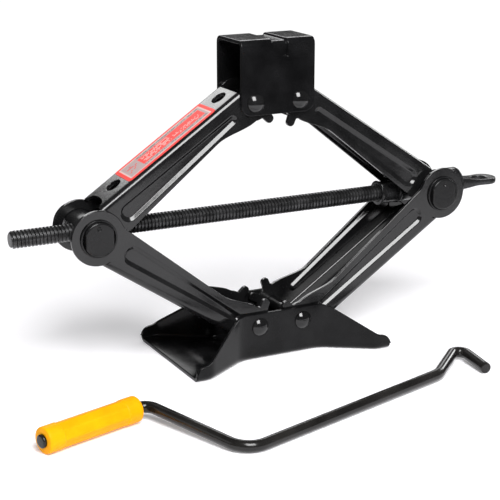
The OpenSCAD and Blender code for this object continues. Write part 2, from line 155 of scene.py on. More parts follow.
def sheet_piece(name, outer, inner, faces, edge_r=EDGE_R):
    """A closed sheet-metal solid from its outside and inside points, with rounded rims."""
    outer, inner = np.array(outer, float), np.array(inner, float)
    count = len(outer)
    n_out = layer_normals(outer, faces)
    n_in = -layer_normals(inner, faces)
    verts, normals = [outer, inner], [n_out, n_in]
    all_faces = [tuple(f) for f in faces] + [tuple(reversed([i + count for i in f])) for f in faces]
    at = 2 * count
    steps = [math.radians(d) for d in (30, 60, 90)]
    for loop in boundary_loops(faces):
        index = np.array(loop)
        p, q = outer[index].copy(), inner[index].copy()
        across = unit(p - q)
        along = unit(np.roll(p, -1, axis=0) - np.roll(p, 1, axis=0))
        out = unit(np.cross(along, across))
        outer[index] = p - edge_r * out
        inner[index] = q - edge_r * out
        rings = [index]
        for side, base, sign in ((steps, p, -1), (steps[::-1], q, 1)):
            for a in side:
                point = base - edge_r * out * (1 - math.sin(a)) + sign * edge_r * across * (1 - math.cos(a))
                verts.append(point)
                normals.append(math.sin(a) * out - sign * math.cos(a) * across)
                rings.append(np.arange(at, at + len(index)))
                at += len(index)
        rings.append(index + count)
        size = len(index)
        for upper, lower in zip(rings[:-1], rings[1:]):
            for j in range(size):
                k = (j + 1) % size
                all_faces.append((upper[k], upper[j], lower[j], lower[k]))
    return make_object(name, np.vstack(verts), all_faces, normals=np.vstack(normals))


def inside(points, polygon):
    """Which points lie inside a polygon."""
    x, y = points[:, 0][:, None], points[:, 1][:, None]
    a, b = polygon, np.roll(polygon, -1, axis=0)
    crosses = (a[:, 1] > y) != (b[:, 1] > y)
    dy = np.where(np.abs(b[:, 1] - a[:, 1]) < 1e-12, 1e-12, b[:, 1] - a[:, 1])
    at = a[:, 0] + (y - a[:, 1]) * (b[:, 0] - a[:, 0]) / dy
    return (crosses & (x < at)).sum(axis=1) % 2 == 1


def distance_to(points, polygon):
    """Distance from points to a polygon's edges."""
    a, b = polygon, np.roll(polygon, -1, axis=0)
    ab = b - a
    t = np.einsum("nij,ij->ni", points[:, None] - a[None], ab) / np.maximum((ab ** 2).sum(1), 1e-12)
    near = a[None] + np.clip(t, 0, 1)[:, :, None] * ab[None]
    return np.linalg.norm(points[:, None] - near, axis=2).min(axis=1)


def resample(points, step):
    """A closed polygon with its long edges split so that no edge is longer than step."""
    out = []
    for i in range(len(points)):
        a, b = np.array(points[i], float), np.array(points[(i + 1) % len(points)], float)
        parts = max(1, math.ceil(np.linalg.norm(b - a) / step))
        out += [a + (b - a) * k / parts for k in range(parts)]
    return np.array(out)


def triangulate(outline, holes, rings, loose):
    """Triangles that fill an outline round its holes, through rings of points and loose points."""
    clear = 0.95
    edges_of = [outline] + list(holes)
    loose = np.array(loose, float)
    keep = inside(loose, outline)
    for polygon in edges_of:
        keep &= distance_to(loose, polygon) > clear
    for polygon in holes:
        keep &= ~inside(loose, polygon)
    loose = loose[keep]
    points, edges = [], []
    for polygon in edges_of + list(rings):
        first = len(points)
        points += [tuple(p) for p in polygon]
        edges += [(first + i, first + (i + 1) % len(polygon)) for i in range(len(polygon))]
    points += [tuple(p) for p in loose]
    flat, _, faces, _, _, _ = delaunay_2d_cdt([Vector(p) for p in points], edges, [], 0, 1e-5)
    flat = np.array([tuple(p) for p in flat])
    faces = np.array([f for f in faces if len(f) == 3])
    middle = flat[faces].mean(axis=1)
    good = inside(middle, outline)
    for polygon in holes:
        good &= ~inside(middle, polygon)
    faces = faces[good]
    a, b, c = flat[faces[:, 0]], flat[faces[:, 1]], flat[faces[:, 2]]
    area = (b[:, 0] - a[:, 0]) * (c[:, 1] - a[:, 1]) - (b[:, 1] - a[:, 1]) * (c[:, 0] - a[:, 0])
    faces = np.where((area > 0)[:, None], faces, faces[:, ::-1])
    used = np.unique(faces)
    renumber = np.full(len(flat), -1)
    renumber[used] = np.arange(len(used))
    return flat[used], [tuple(f) for f in renumber[faces]]


def round_corners(points, radii, steps=6):
    """A polyline whose inner corners are rounded by arcs."""
    out = [np.array(points[0], float)]
    for i in range(1, len(points) - 1):
        a, b, c = (np.array(points[j], float) for j in (i - 1, i, i + 1))
        r = radii[i]
        u, w = unit(a - b), unit(c - b)
        corner = math.acos(max(-1.0, min(1.0, float(u @ w))))
        if r <= 0 or corner > math.pi - 1e-3:
            out.append(b)
            continue
        cut = r / math.tan(corner / 2)
        cut = min(cut, 0.49 * np.linalg.norm(a - b), 0.49 * np.linalg.norm(c - b))
        r = cut * math.tan(corner / 2)
        centre = b + unit(u + w) * r / math.sin(corner / 2)
        s, e = b + u * cut - centre, b + w * cut - centre
        swing = math.pi - corner
        for k in range(steps + 1):
            t = k / steps
            out.append(centre + (math.sin((1 - t) * swing) * s + math.sin(t * swing) * e) / math.sin(swing))
    out.append(np.array(points[-1], float))
    return out


def circle(centre, r, count):
    a = np.arange(count) * 2 * math.pi / count
    return np.array(centre) + r * np.stack([np.cos(a), np.sin(a)], axis=1)


def grid(x0, x1, dx, y0, y1, dy):
    xs = np.linspace(x0, x1, max(2, round((x1 - x0) / dx) + 1))
    ys = np.linspace(y0, y1, max(2, round((y1 - y0) / dy) + 1))
    return [(x, y) for x in xs for y in ys]


def soft_ramp(t, end, soft):
    """Zero before 0 and one after end, straight between, with both corners rounded."""
    def knee(x):
        return np.where(x < -soft, 0, np.where(x > soft, x, (x + soft) ** 2 / (4 * soft)))
    return (knee(t) - knee(t - end)) / end


def soft_levels(end, soft):
    """Where a soft ramp needs rows of points."""
    at = (-1.0, -0.35, 0.35, 1.0)
    return [k * soft for k in at] + [end + k * soft for k in at]


def bridge(rings, closed=False):
    """Faces between neighbouring rings of point numbers; a ring that repeats one number is a pole."""
    faces = []
    pairs = list(zip(rings[:-1], rings[1:])) + ([(rings[-1], rings[0])] if closed else [])
    for a, b in pairs:
        for j in range(len(a)):
            k = (j + 1) % len(a)
            corners = tuple(dict.fromkeys((a[j], b[j], b[k], a[k])))
            if len(corners) > 2:
                faces.append(corners)
    return faces


def stacked(count, size):
    """The point numbers of a stack of rings."""
    return [range(i * size, (i + 1) * size) for i in range(count)]


def lathe(name, profile, segments=48, matrix=None, sharp_deg=35, closed=False, ripple=None):
    """A surface of revolution about +X from (x, r) points, or a ring when the profile is closed."""
    verts, rings = [], []
    for x, r in profile:
        if r < 1e-6:
            rings.append([len(verts)] * segments)
            verts.append((x, 0.0, 0.0))
            continue
        rings.append(range(len(verts), len(verts) + segments))
        for j in range(segments):
            a = 2 * math.pi * j / segments
            rr = ripple(x, a, r) if ripple else r
            verts.append((x, rr * math.cos(a), rr * math.sin(a)))
    obj = make_object(name, verts, bridge(rings, closed), sharp_deg=sharp_deg)
    orient(obj)
    if matrix is not None:
        obj.data.transform(matrix)
    return obj


def orient(obj):
    """Turns all faces outwards."""
    bm = bmesh.new()
    bm.from_mesh(obj.data)
    bmesh.ops.recalc_face_normals(bm, faces=bm.faces)
    bm.to_mesh(obj.data)
    bm.free()


def arc_points(centre, r, start_deg, end_deg, steps):
    out = []
    for k in range(steps + 1):
        a = math.radians(start_deg + (end_deg - start_deg) * k / steps)
        out.append((centre[0] + r * math.cos(a), centre[1] + r * math.sin(a)))
    return out


def at_mm(x, y, z):
    return Matrix.Translation(Vector((x, y, z)) * MM)


# Turns a shape along +X to lie along +Y, and puts a shape on the screw's axis
ALONG_Y = Matrix.Rotation(math.pi / 2, 4, "Z")
ON_SCREW = at_mm(0, 0, SCREW_Z)


# ----------------------------------------------------------------- materials

class Finish:
    """A node material in the making, with its shader and the object's coordinates at hand."""

    def __init__(self, name, color, roughness, metallic=0.0, ior=1.5):
        self.material = bpy.data.materials.new(name)
        self.material.use_nodes = True
        self.nodes, self.links = self.material.node_tree.nodes, self.material.node_tree.links
        self.shader = self.nodes["Principled BSDF"]
        self.set({"Base Color": color, "Roughness": roughness, "Metallic": metallic, "IOR": ior})
        self.at = self.nodes.new("ShaderNodeTexCoord").outputs["Object"]

    def set(self, values, node=None):
        """Links outputs to a node's inputs, the shader's by default, or sets their constants."""
        for key, value in values.items():
            socket = (node or self.shader).inputs[key]
            if isinstance(value, bpy.types.NodeSocket):
                self.links.new(value, socket)
            else:
                socket.default_value = (*value, 1) if socket.type == "RGBA" else value

    def add(self, kind, values, output, **settings):
        """A new node's output."""
        node = self.nodes.new("ShaderNode" + kind)
        for key, value in settings.items():
            setattr(node, key, value)
        self.set(values, node)
        return node.outputs[output]

    def noise(self, scale_mm, detail):
        """Noise whose features are about scale_mm across."""
        return self.add("TexNoise", {"Scale": 1.0 / (scale_mm * MM), "Detail": detail, "Roughness": 0.55,
                                     "Vector": self.at}, "Fac")

    def remap(self, value, low, high, out_low, out_high):
        return self.add("MapRange", {"From Min": low, "From Max": high, "To Min": out_low,
                                     "To Max": out_high, "Value": value}, "Result")

    def math(self, op, a, b):
        return self.add("Math", {0: a, 1: b}, "Value", operation=op)

    def mix(self, factor, a, b):
        return self.add("Mix", {"Factor": factor, "A": a, "B": b}, "Result", data_type="RGBA")

    def bump(self, height, strength, depth_mm):
        self.set({"Normal": self.add("Bump", {"Strength": strength, "Distance": depth_mm * MM,
                                              "Height": height}, "Normal")})


def black_paint(name, color=(0.0045, 0.0045, 0.0048), roughness=0.15, peel=1.0, ior=1.5):
    """Glossy black enamel: orange peel, faint dust specks and slightly uneven gloss."""
    m = Finish(name, color, roughness, ior=ior)
    broad, fine, grain = m.noise(22, 2), m.noise(2.2, 3), m.noise(0.5, 1)
    specks = m.remap(grain, 0.70, 0.78, 0.0, 1.0)
    lighter = tuple(c * 2.6 + 0.004 for c in color)
    tone = m.mix(m.remap(broad, 0.35, 0.7, 0, 0.5), color, lighter)
    gloss = m.remap(broad, 0.3, 0.7, roughness * 0.8, roughness * 1.3)
    m.set({"Base Color": m.mix(m.math("MULTIPLY", specks, 0.35), tone, (0.06, 0.06, 0.062)),
           "Roughness": m.math("ADD", gloss, m.math("MULTIPLY", specks, 0.2))})
    m.bump(m.math("ADD", fine, m.math("MULTIPLY", broad, 3.0)), 0.12 * peel, 0.25)
    return m.material


def dark_steel(name, color, roughness, metallic):
    """Blackened machined steel with fine streaks."""
    m = Finish(name, color, roughness, metallic)
    broad, fine = m.noise(9, 3), m.noise(0.7, 2)
    lighter = tuple(c * 3.0 + 0.01 for c in color)
    m.set({"Base Color": m.mix(m.remap(broad, 0.4, 0.75, 0, 0.6), color, lighter),
           "Roughness": m.remap(fine, 0.3, 0.7, roughness * 0.8, roughness * 1.3)})
    m.bump(fine, 0.15, 0.1)
    return m.material


def yellow_plastic(name):
    """Moulded yellow plastic with a fine grain and slightly uneven colour."""
    m = Finish(name, (0.95, 0.43, 0.0), 0.5)
    broad, grain = m.noise(14, 3), m.noise(0.45, 2)
    m.set({"Base Color": m.mix(m.remap(broad, 0.3, 0.7, 0, 1), (0.88, 0.355, 0.0), (1.0, 0.42, 0.0)),
           "Roughness": m.remap(grain, 0.3, 0.7, 0.44, 0.6),
           "Specular IOR Level": 0.12, "Subsurface Weight": 0.08,
           "Subsurface Radius": (0.004, 0.002, 0.0005)})
    m.bump(grain, 0.12, 0.06)
    return m.material


paint = black_paint("black_enamel")
# The base and head copies of the enamel are darker in colour and mirror less than the rest of the jack, which
# wears one paint: painted shade
paint_base_shaded = black_paint("black_enamel_base_shaded", (0.0035, 0.0035, 0.0038), ior=1.27)
paint_head_shaded = black_paint("black_enamel_head_shaded", (0.003, 0.003, 0.0033), ior=1.33)
paint_pins = black_paint("black_enamel_pins", (0.004, 0.004, 0.0042), 0.11, 0.6)
paint_crank = black_paint("black_enamel_crank", (0.008, 0.0075, 0.007), 0.17, 0.8, 1.4)
# The bars' copy of the enamel is lighter in colour and mirrors less, set to how bright the bars look under
# the lights: painted light and shade
paint_bars_light_matched = black_paint("black_enamel_bars_light_matched", (0.006, 0.006, 0.0063), 0.22, 1.4, 1.34)
screw_steel = dark_steel("black_oxide_thread", (0.034, 0.034, 0.035), 0.27, 0.7)
sleeve_steel = dark_steel("black_oxide_sleeve", (0.020, 0.020, 0.021), 0.24, 0.5)
washer_steel = dark_steel("dull_steel_rings", (0.03, 0.03, 0.031), 0.36, 0.7)
bearing_steel = dark_steel("bearing_steel", (0.25, 0.25, 0.26), 0.22, 0.95)
plastic = yellow_plastic("yellow_grip_plastic")


# ---------------------------------------------------------------------- arms

def slot_distance(u, v, near, far):
    """Signed distance to a slot whose two round ends differ in radius."""
    (ax, ay, ra), (bx, by, rb) = near, far
    length = math.hypot(bx - ax, by - ay)
    cos_l, sin_l = (bx - ax) / length, (by - ay) / length
    x = (u - ax) * cos_l + (v - ay) * sin_l
    y = np.abs(-(u - ax) * sin_l + (v - ay) * cos_l)
    lean = (ra - rb) / length
    upright = math.sqrt(1 - lean * lean)
    t = x * upright - y * lean
    side = x * lean + y * upright - ra
    return np.where(t < 0, np.hypot(x, y) - ra,
                    np.where(t > length * upright, np.hypot(x - length, y) - rb, side))


def slot_outline(near, far, grow, step):
    """Points round that slot, grown by grow."""
    (ax, ay, ra), (bx, by, rb) = near, far
    along = math.degrees(math.atan2(by - ay, bx - ax))
    lean = math.degrees(math.acos((ra - rb) / math.hypot(bx - ax, by - ay)))
    points = arc_points((bx, by), rb + grow, along - lean, along + lean, 8)
    points += arc_points((ax, ay), ra + grow, along + lean, along + 360 - lean, 12)
    return resample(points, step)


def inner_edge(u):
    """Height of a flange's inner edge: a straight taper that eases into the gear's root."""
    s = max(0.0, min(1.0, (u - 124) / 34))
    return EDGE_LOW + EDGE_SLOPE * u - 5.6 * s * s * (3 - 2 * s) - 3.6 * s


def half_outline(half, web, lobes, sign, ear, trim):
    """The developed outline of one side of an arm, from the notch's middle to the web end's middle.
    The ear has the radius ear, and the inner edge is trim closer to the web."""
    flat_half = half - BEND_R
    bend_len = BEND_R * math.pi / 2
    b2 = flat_half + bend_len
    top = web - BEND_R

    def flat(u, v):
        return (u, b2 + top - v)

    notch_half = half - SHEET + 0.6
    path = [(NOTCH_LEN * (1 - (y / notch_half) ** 3) ** (1 / 3), y) for y in np.linspace(0, flat_half, 13)]
    corner_u = path[-1][0]
    for k in range(1, 6):
        a = math.radians(18 * k)
        v = top + BEND_R * math.cos(a)
        path.append((max(corner_u, math.sqrt(ear ** 2 - v * v) + 0.35), flat_half + BEND_R * a))
    end_u = path[-1][0]
    path += [(end_u + 0.1, b2 + 0.6), (end_u - 0.25, b2 + 0.85)]
    start = math.degrees(math.asin((top + 0.2) / ear))
    if ear > 18.2 - trim:
        # round the ear, then a fillet into the inner edge
        fillet, slope = 14.0, EDGE_SLOPE
        lift = EDGE_LOW + trim - fillet * math.hypot(1, slope)
        aa, bb, cc = 1 + slope ** 2, 2 * slope * lift, lift ** 2 - (ear + fillet) ** 2
        cu = (-bb + math.sqrt(bb * bb - 4 * aa * cc)) / (2 * aa)
        cv = lift + slope * cu
        stop = math.degrees(math.atan2(cv, cu)) + 360
        path += [flat(*p) for p in arc_points((0, 0), ear, start, stop, 44)]
        down = math.degrees(math.atan2(-cv, -cu))
        up = 90 + math.degrees(math.atan(slope))
        path += [flat(*p) for p in arc_points((cu, cv), fillet, down, up, 5)[1:]]
    else:
        path += [flat(*p) for p in arc_points((0, 0), ear, start, 272, 40)]
    lower = [(u, inner_edge(u) + trim * max(0.0, min(1.0, (158 - u) / 32)))
             for u in np.arange(26, 154.1, 4.0)]
    # the gear: each lobe with a stretch of root circle before it
    gear, radii = [lower[-1]], [0]
    centre = np.array([ARM_LEN, 0])
    angles = sorted(-math.degrees(ARM_ANGLE) - a for a in lobes)
    for number, a in enumerate(angles):
        d = np.array([math.cos(math.radians(a)), math.sin(math.radians(a))])
        p = np.array([-d[1], d[0]])
        if number or a > -100:
            root = (a - 33, a - 17) if number else (-116, a - 18)
            gear += arc_points(centre, LOBE_ROOT_R, *root, 3)
            radii += [0] * 4
        for reach, shift, r in ((14.5, -LOBE_HALF - 0.4, 1.8), (LOBE_TIP_R, -LOBE_HALF, 3.4),
                                (LOBE_TIP_R, LOBE_HALF, 3.4), (14.5, LOBE_HALF + 0.4, 1.8)):
            gear.append(tuple(centre + d * reach + p * shift))
            radii.append(r)
    end_deg = math.degrees(math.acos((WEB_END + 0.9 - ARM_LEN) / LOBE_ROOT_R))
    gear += arc_points(centre, LOBE_ROOT_R, angles[-1] + 17, end_deg, 14)
    radii += [0] * 15
    path += [flat(*p) for p in lower[:-1]] + [flat(*p) for p in round_corners(gear, radii, 5)]
    path += [(WEB_END + 0.9, b2), (WEB_END + 0.75, b2 + 0.5), (WEB_END + 0.2, b2 + 0.5)]
    path += [(WEB_END, b) for b in (b2, (b2 + flat_half) / 2, flat_half, flat_half / 2, 0)]
    return [(u, sign * b) for u, b in path]


def arm_mesh(name, half, web, ears, trims):
    """A channel arm in its own frame: trunnion at the origin, geared pin at +X, web on +Z.
    Its ears and trims are given for the -Y flange, then the +Y flange."""
    flat_half = half - BEND_R
    bend_len = BEND_R * math.pi / 2
    b2 = flat_half + bend_len
    top = web - BEND_R
    drop = web - UPPER_WEB
    near, far = ((u, v + drop, r) for u, v, r in (PANEL_NEAR, PANEL_FAR))

    low = half_outline(half, web, FRONT_LOBES, -1, ears[0], trims[0])
    high = half_outline(half, web, BACK_LOBES, 1, ears[1], trims[1])
    outline = resample(low[:-1] + high[::-1][:-1], 3.2)
    holes, rings = [circle((u, 0), WEB_HOLE_R, 32) for u in WEB_HOLES], []
    loose = grid(4, 158, 3.4, -flat_half + 2, flat_half - 2, 3.4)
    for sign in (-1, 1):
        for k in range(9):
            loose += [(u, sign * (flat_half + bend_len * k / 8)) for u in np.linspace(2, 158, 46)]
        centre_b = sign * (b2 + top)
        holes.append(circle((0, centre_b), TRUNNION_D / 2 + RUNNING, 56))
        holes.append(circle((ARM_LEN, centre_b), PIN_R + RUNNING, 28))
        for level in soft_levels(PANEL_SLOPE, PANEL_SOFT):
            ring = slot_outline(near, far, -level, 3.0)
            rings.append(np.stack([ring[:, 0], sign * (b2 + top - ring[:, 1])], axis=1))
        area = grid(-24, 192, 3.3, b2 + 1.5, b2 + top + 26, 3.3)
        area += grid(-24, 15, 3.0, b2 - 14, b2 + 1.4, 3.0) + grid(162, 180, 3.0, b2 - 6, b2 + 1.4, 3.0)
        area = np.array(area)
        t = -slot_distance(area[:, 0], b2 + top - area[:, 1], near, far)
        clear_of_rings = (t < -PANEL_SOFT - 1.2) | (t > PANEL_SLOPE + PANEL_SOFT + 1.0)
        loose += [(u, sign * b) for u, b in area[clear_of_rings]]
    flat, faces = triangulate(outline, holes, rings, loose)

    def surface(w):
        u, b = flat[:, 0], flat[:, 1]
        a, s = np.abs(b), np.where(b < 0, -1.0, 1.0)
        v_flat = top + b2 - a
        ear = np.where(b < 0, ears[0], ears[1])
        upright = (a >= b2) | (np.hypot(u, v_flat) <= ear + 0.12) | (u > WEB_END + 0.45)
        turn = np.clip((a - flat_half) / BEND_R, 0, math.pi / 2)
        y_web = np.where(a <= flat_half, a, flat_half + (BEND_R - w) * np.sin(turn))
        v_web = np.where(a <= flat_half, web - w, top + (BEND_R - w) * np.cos(turn))
        t = -slot_distance(u, v_flat, near, far)
        dent = np.where(upright, PANEL_DEPTH * soft_ramp(t, PANEL_SLOPE, PANEL_SOFT), 0)
        y = np.where(upright, half - w - dent, y_web)
        v = np.where(upright, v_flat, v_web)
        return np.stack([u, s * y, v], axis=1)

    return sheet_piece(name, surface(0.0), surface(SHEET), faces)


UPPER_LEFT = at_mm(-TRUNNION_X, 0, SCREW_Z) @ Matrix.Rotation(-ARM_ANGLE, 4, "Y")
LOWER_LEFT = (at_mm(-TRUNNION_X, 0, SCREW_Z) @ Matrix.Rotation(ARM_ANGLE, 4, "Y")
              @ Matrix.Rotation(math.pi, 4, "X"))
HALF_TURN = Matrix.Rotation(math.pi, 4, "Z")

for arm, half, web, ears, trims, where in (
    ("upper_arm_left", UPPER_HALF, UPPER_WEB, (SMALL_EAR_R, BACK_EAR_R), (0, 0), UPPER_LEFT),
    ("upper_arm_right", UPPER_HALF, UPPER_WEB, (BACK_EAR_R, SMALL_EAR_R), (0, 0), HALF_TURN @ UPPER_LEFT),
    ("lower_arm_left", LOWER_HALF, LOWER_WEB, (SMALL_EAR_R, FRONT_EAR_R), (BACK_TRIM, 0), LOWER_LEFT),
    ("lower_arm_right", LOWER_HALF, LOWER_WEB, (FRONT_EAR_R, SMALL_EAR_R), (0, BACK_TRIM),
     HALF_TURN @ LOWER_LEFT),
):
    piece = arm_mesh(arm + "_channel", half, web, ears, trims)
    piece.data.transform(where)
    place(piece, arm, paint, "painted_steel", arm)


# ---------------------------------------------------------------------- head

def head_mesh():
    """The folded head bracket with the groove pressed across its top and down both walls."""
    r = 5.5
    half_x = 33.0
    flat_half = HEAD_HALF - r
    b2 = flat_half + r * math.pi / 2
    wall = HEAD_TOP_Z - r - (HEAD_PIVOT_Z - 10)
    corner = 9.0
    groove_x, groove_half, groove_depth = 1.5, 7.0, 2.0
    groove_end_z = 248.2
    groove_b = b2 + (HEAD_TOP_Z - r - groove_end_z)
    slope, soft = 0.9, 0.4
    b_end = b2 + wall

    quarter = [(half_x, 0), (half_x, b_end - corner)]
    quarter += arc_points((half_x - corner, b_end - corner), corner, 0, 90, 10)
    upper = quarter[1:] + [(-x, b) for x, b in reversed(quarter[1:])]
    outline = resample(upper + [(-x, -b) for x, b in upper], 3.0)
    holes = [circle((sx * PIVOT_HALF, sb * (b_end - 10)), 5.03, 28) for sx in (-1, 1) for sb in (-1, 1)]
    rings = []
    for level in soft_levels(slope, soft):
        gx, gb = groove_half - level, groove_b - level
        rr = max(0.3, 1.6 - level)
        corners = [(gx, -gb), (gx, gb), (-gx, gb), (-gx, -gb)]
        points = []
        for i, (cx, cb) in enumerate(corners):
            sx, sb = math.copysign(1, cx), math.copysign(1, cb)
            start = (270, 0, 90, 180)[i]
            points += arc_points((cx - sx * rr, cb - sb * rr), rr, start, start + 90, 4)
        rings.append(resample([(groove_x + x, b) for x, b in points], 2.2))
    loose = grid(-half_x, half_x, 3.3, -b_end, b_end, 3.3)
    for sign in (-1, 1):
        for k in range(9):
            loose += [(x, sign * (flat_half + (b2 - flat_half) * k / 8)) for x in np.linspace(-32, 32, 22)]

    def groove_t(x, b):
        dx, db = np.abs(x - groove_x) - groove_half + 1.6, np.abs(b) - groove_b + 1.6
        outside = np.hypot(np.maximum(dx, 0), np.maximum(db, 0))
        return -(outside + np.minimum(np.maximum(dx, db), 0) - 1.6)

    loose = np.array(loose)
    t = groove_t(loose[:, 0], loose[:, 1])
    loose = loose[(t < -soft - 0.8) | (t > slope + soft + 0.8)]
    flat, faces = triangulate(outline, holes, rings, loose)

    def surface(w):
        x, b = flat[:, 0], flat[:, 1]
        a, s = np.abs(b), np.where(b < 0, -1.0, 1.0)
        depth = w + groove_depth * soft_ramp(groove_t(x, b), slope, soft)
        turn = np.clip((a - flat_half) / r, 0, math.pi / 2)
        y = np.where(a <= flat_half, a, flat_half + (r - depth) * np.sin(turn))
        z = np.where(a <= flat_half, HEAD_TOP_Z - depth, HEAD_TOP_Z - r + (r - depth) * np.cos(turn))
        z = np.where(a > b2, HEAD_TOP_Z - r - (a - b2), z)
        return np.stack([x, s * y, z], axis=1)

    return sheet_piece("head_channel", surface(0.0), surface(SHEET), faces)


place(head_mesh(), "head", paint_head_shaded, "painted_steel", "head_bracket")


# ---------------------------------------------------------------------- base

def base_mesh():
    """The base pan: a floor whose two walls are folded up, straight at the middle and flared at the ends."""
    length_half, end_half, wall_top, end_top = 90.0, 57.0, 39.5, 12.5
    bend = 5.0
    past_end = length_half + 10
    plan = np.array(round_corners([(0, BASE_HALF), (36, BASE_HALF), (77, end_half), (past_end, end_half)],
                                  [0, 26, 16, 0], 24))
    side = np.array(round_corners([(0, wall_top), (41, wall_top), (80, end_top), (past_end, end_top)],
                                  [0, 22, 12, 0], 24))
    bend_len = bend * math.pi / 2
    ends = [90, 89.7, 89.2, 88.4, 87.4, 86.2, 84.8, 83.2, 81.4, 79.6]
    xs = np.array(ends + list(np.linspace(77.5, 0, 38)))
    xs = np.concatenate([-xs, xs[::-1][1:]])
    ax = np.abs(xs)
    width = np.interp(ax, plan[:, 0], plan[:, 1])
    lean = np.hypot(1, np.gradient(width, xs))
    corner = 8.0
    height = np.interp(ax, side[:, 0], side[:, 1])
    dip = corner - np.sqrt(np.maximum(corner ** 2 - np.maximum(ax - (length_half - corner), 0) ** 2, 0))
    height = height - dip
    reach = bend_len + height - bend
    floor_rows = np.linspace(0, 1, 37)
    bend_rows = np.linspace(0, 1, 7)[1:]
    wall_rows = np.linspace(0, 1, 19)[1:]

    def plateau(x, y, wall):
        # rises in a sloped band round a rounded rectangle, clear of the walls
        hx, hy, r, run = 72.0, min(37.0, wall - 14), 10.0, 8.0
        dx, dy = np.abs(x) - hx + r, np.abs(y) - hy + r
        outside = np.hypot(np.maximum(dx, 0), np.maximum(dy, 0)) + np.minimum(np.maximum(dx, dy), 0) - r
        shown = np.clip((np.abs(x) - 26) / 14, 0, 1)
        return soft_ramp(-outside, run, 0.8) * shown

    def surface(w):
        columns = []
        for x, wd, k, ln in zip(xs, width, lean, reach):
            flat_y = (wd - bend * k) * floor_rows
            rise = plateau(np.full_like(flat_y, x), flat_y, wd)
            ys, zs = list(flat_y), list(w + rise)
            for arc in list(bend_rows * bend_len) + list(bend_len + wall_rows * (ln - bend_len)):
                if arc < bend_len - 1e-6:
                    a = arc / bend
                    ys.append(wd - bend * k + (bend - w) * k * math.sin(a))
                    zs.append(bend - (bend - w) * math.cos(a))
                else:
                    ys.append(wd - w * k)
                    zs.append(bend + arc - bend_len)
            half = [(x, y, z) for y, z in zip(ys, zs)]
            columns.append([(x, -y, z) for x, y, z in reversed(half[1:])] + half)
        return np.array(columns)

    outer, inner = surface(0.0), surface(SHEET)
    n_x, n_b = outer.shape[:2]
    faces = []
    for i in range(n_x - 1):
        for j in range(n_b - 1):
            a = i * n_b + j
            faces.append((a, a + 1, a + n_b + 1, a + n_b))
    return sheet_piece("base_pan", outer.reshape(-1, 3), inner.reshape(-1, 3), faces, 0.7)


place(base_mesh(), "base", paint_base_shaded, "painted_steel", "base_plate")


# ---------------------------------------------------------------------- pins

def pin(name, x, z, half_len):
    """A pivot pin along Y: at each end a domed head with a small straight side."""
    head_r, rise, side = 7.5, 4.0, 0.7
    dome_h = rise - side
    big_r = (head_r ** 2 + dome_h ** 2) / (2 * dome_h)
    half = []
    for k in range(14):
        a = math.asin(head_r / big_r) * k / 14
        half.append((half_len + rise - big_r + big_r * math.cos(a), big_r * math.sin(a)))
    half += [(half_len + side + 0.12, head_r - 0.1), (half_len + side - 0.15, head_r),
             (half_len, head_r), (half_len, PIN_R)]
    return lathe(name, half + [(-a, r) for a, r in reversed(half)], 48, at_mm(x, 0, z) @ ALONG_Y, 50)


for side, sx in (("left", -1), ("right", 1)):
    place(pin(f"base_rivet_{side}", sx * PIVOT_HALF, BASE_PIVOT_Z, BASE_HALF), "base", paint_pins,
          "black_pins", f"base_pivot_pin_{side}")
    place(pin(f"head_rivet_{side}", sx * PIVOT_HALF, HEAD_PIVOT_Z, HEAD_HALF), "head", paint_pins,
          "black_pins", f"head_pivot_pin_{side}")


# ----------------------------------------------------------------- trunnions

def trunnion(name, x, bore_r):
    """A round cross bar with two flats, rounded ends, a centre mark on each end and a hole for the screw."""
    r, flat = TRUNNION_D / 2, TRUNNION_FLATS / 2
    count = 72
    angles = np.arange(count) * 2 * math.pi / count

    def section(shrink):
        reach = r - shrink
        across = np.minimum(reach, (flat - shrink) / np.maximum(np.abs(np.cos(angles)), 1e-6))
        return np.stack([across * np.cos(angles), across * np.sin(angles)], axis=1)

    edge = 1.3
    stations = [(0, 6.0), (0, 3.2), (0, edge + 0.4)]
    stations += [(edge * (1 - math.cos(a)), edge * (1 - math.sin(a)))
                 for a in (math.radians(d) for d in (5, 25, 45, 65, 85))]
    verts, rings = [], []

    def add_ring(points, y):
        rings.append(range(len(verts), len(verts) + count))
        verts.extend((px, y, pz) for px, pz in points)

    for back, shrink in stations:
        add_ring(section(shrink), -BAR_HALF + back)
    for back, shrink in reversed(stations):
        add_ring(section(shrink), BAR_HALF - back)
    bar = make_object(name, verts, bridge(rings) + [tuple(rings[0]), tuple(reversed(rings[-1]))])
    orient(bar)
    cutters = [lathe(name + "_bore", [(-20, 0), (-20, bore_r), (20, bore_r), (20, 0)], 48)]
    for end in (-1, 1):
        dimple = [(-0.9, 0), (-0.75, 1.1), (0, 1.9), (1.5, 2.2), (1.5, 0)]
        turn = Matrix.Rotation(end * math.pi / 2, 4, "Z")
        cutters.append(lathe(name + f"_mark{end + 1}", dimple, 20,
                             at_mm(-0.6, end * BAR_HALF, 8.6) @ turn))
    for cutter in cutters:
        cut = bar.modifiers.new("cut", "BOOLEAN")
        cut.operation = "DIFFERENCE"
        cut.solver = "EXACT"
        cut.object = cutter
    graph = bpy.context.evaluated_depsgraph_get()
    mesh = bpy.data.meshes.new_from_object(bar.evaluated_get(graph))
    bar.modifiers.clear()
    bar.data = mesh
    for cutter in cutters:
        bpy.data.objects.remove(cutter)
    mesh.shade_smooth()
    mesh.set_sharp_from_angle(angle=math.radians(32))
    mesh.transform(at_mm(x, 0, SCREW_Z))
    return bar


place(trunnion("nut_bar", -TRUNNION_X, SCREW_R + RUNNING), "nut_trunnion", paint_bars_light_matched,
      "trunnion_steel", "trunnion_nut")
place(trunnion("bearing_bar", TRUNNION_X, SCREW_R + 0.08), "bearing_trunnion", paint_bars_light_matched,
      "trunnion_steel", "trunnion_bearing_block")


